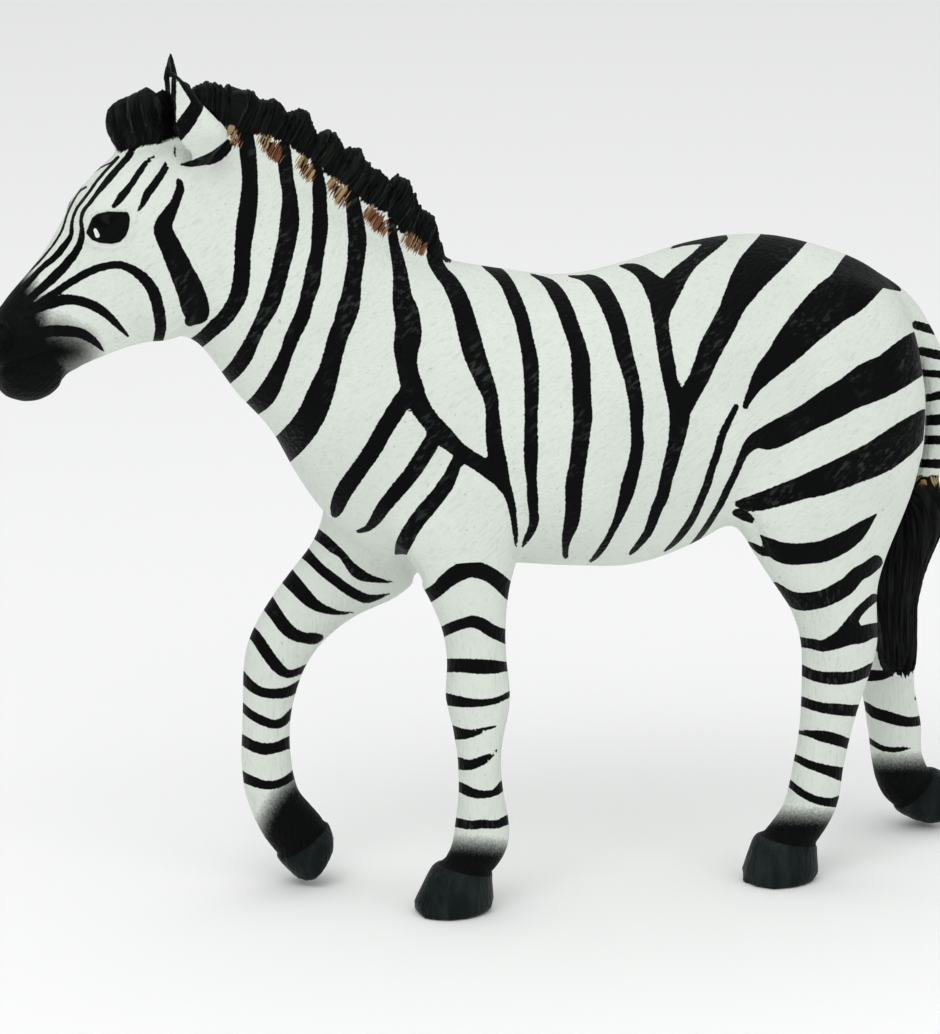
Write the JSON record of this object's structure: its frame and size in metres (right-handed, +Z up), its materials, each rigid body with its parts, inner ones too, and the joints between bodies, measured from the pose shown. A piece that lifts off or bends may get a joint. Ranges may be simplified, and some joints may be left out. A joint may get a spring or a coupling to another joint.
{
  "type": "zebra figurine",
  "caption": "Hand-painted moulded plastic figurine of a walking plains zebra that stands on its own hooves.",
  "frame": {"origin": "on the ground the figure stands on, under the middle of its box", "axes": "+Z up, -Y the way the figure looks, +X its left side"},
  "size_m": [0.0274, 0.1248, 0.1023],
  "materials": {
    "painted_pvc": "hand-painted satin PVC, off-white with black stripes"
  },
  "bodies": {
    "root": {"zebra": "painted_pvc"}
  },
  "joints": []
}
